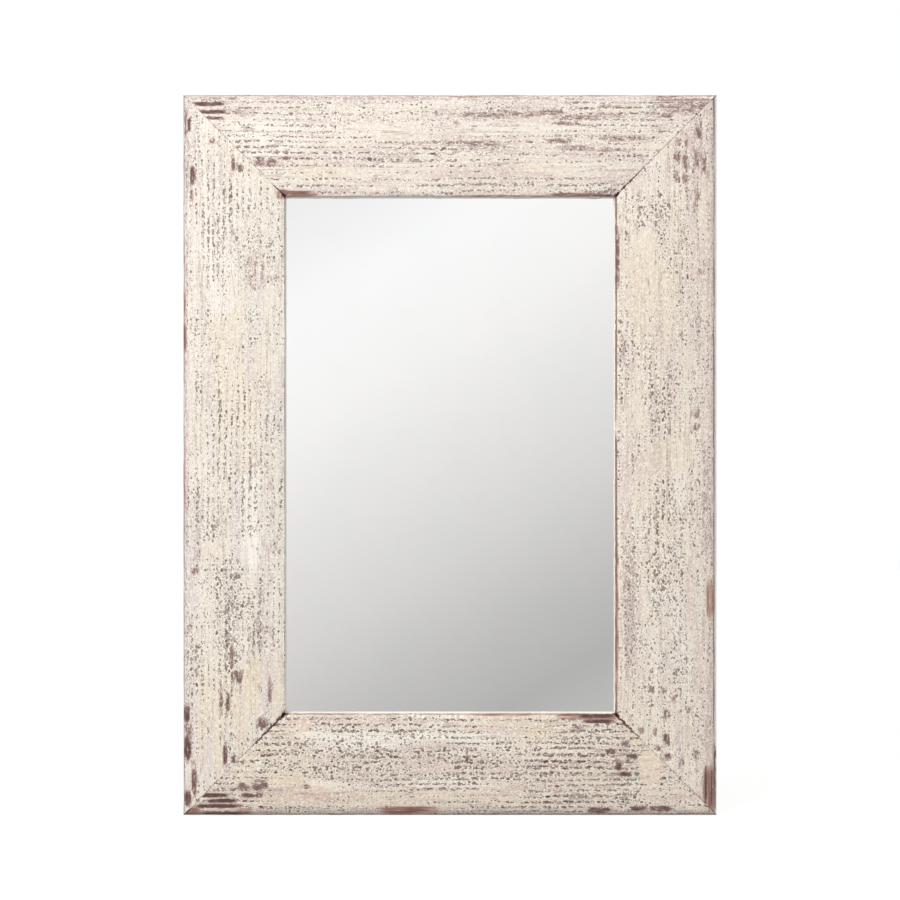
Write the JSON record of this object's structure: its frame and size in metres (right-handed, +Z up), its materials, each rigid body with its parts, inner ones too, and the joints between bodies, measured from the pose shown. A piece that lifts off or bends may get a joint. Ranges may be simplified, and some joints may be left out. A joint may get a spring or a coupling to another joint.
{
  "type": "wooden wall mirror",
  "caption": "Upright wall mirror in a broad mitred wooden frame with worn cream paint, held by turn buttons and hung on rings.",
  "frame": {"origin": "on the bottom edge, halfway along it and halfway through its thickness", "axes": "+Z up, +X to the right seen from the front, the glass faces -Y and the wall is at +Y"},
  "size_m": [0.6, 0.0305, 0.81],
  "materials": {
    "painted_wood": "distressed matt paint",
    "beech": "pressed",
    "hardboard": "smooth",
    "mirror": "silvered glass",
    "zinc_steel": "zinc plated",
    "rubber": "matt"
  },
  "bodies": {
    "frame": {"top_rail": "painted_wood", "bottom_rail": "painted_wood", "left_stile": "painted_wood", "right_stile": "painted_wood", "mitre_biscuit_top_left": "beech", "mitre_biscuit_top_right": "beech", "mitre_biscuit_bottom_left": "beech", "mitre_biscuit_bottom_right": "beech", "mitre_v_nails": "zinc_steel", "mirror_glass": "mirror", "backing_board": "hardboard", "turn_button_screws": "zinc_steel", "hanger_strap_left": "zinc_steel", "wall_bumper_left": "rubber", "hanger_strap_right": "zinc_steel", "wall_bumper_right": "rubber", "hanger_screws": "zinc_steel"},
    "ring_left": {"hanger_ring_left": "zinc_steel"},
    "ring_right": {"hanger_ring_right": "zinc_steel"},
    "button_left_upper": {"turn_button_left_upper": "zinc_steel"},
    "button_left_lower": {"turn_button_left_lower": "zinc_steel"},
    "button_right_upper": {"turn_button_right_upper": "zinc_steel"},
    "button_right_lower": {"turn_button_right_lower": "zinc_steel"},
    "button_top": {"turn_button_top": "zinc_steel"},
    "button_bottom": {"turn_button_bottom": "zinc_steel"}
  },
  "joints": [
    {"name": "ring_left_swing", "type": "hinge", "parent": "frame", "child": "ring_left", "pos_m": [-0.25, 0.01355, 0.64], "axis": [1, 0, 0], "range_deg": [0, 179]},
    {"name": "ring_right_swing", "type": "hinge", "parent": "frame", "child": "ring_right", "pos_m": [0.25, 0.01355, 0.64], "axis": [1, 0, 0], "range_deg": [0, 179]},
    {"name": "button_left_upper_turn", "type": "hinge", "parent": "frame", "child": "button_left_upper", "pos_m": [-0.204, 0.0117, 0.555], "axis": [0, 1, 0], "continuous": true},
    {"name": "button_left_lower_turn", "type": "hinge", "parent": "frame", "child": "button_left_lower", "pos_m": [-0.204, 0.0117, 0.255], "axis": [0, 1, 0], "continuous": true},
    {"name": "button_right_upper_turn", "type": "hinge", "parent": "frame", "child": "button_right_upper", "pos_m": [0.204, 0.0117, 0.555], "axis": [0, 1, 0], "continuous": true},
    {"name": "button_right_lower_turn", "type": "hinge", "parent": "frame", "child": "button_right_lower", "pos_m": [0.204, 0.0117, 0.255], "axis": [0, 1, 0], "continuous": true},
    {"name": "button_top_turn", "type": "hinge", "parent": "frame", "child": "button_top", "pos_m": [0, 0.0117, 0.714], "axis": [0, 1, 0], "continuous": true},
    {"name": "button_bottom_turn", "type": "hinge", "parent": "frame", "child": "button_bottom", "pos_m": [0, 0.0117, 0.096], "axis": [0, 1, 0], "continuous": true}
  ]
}
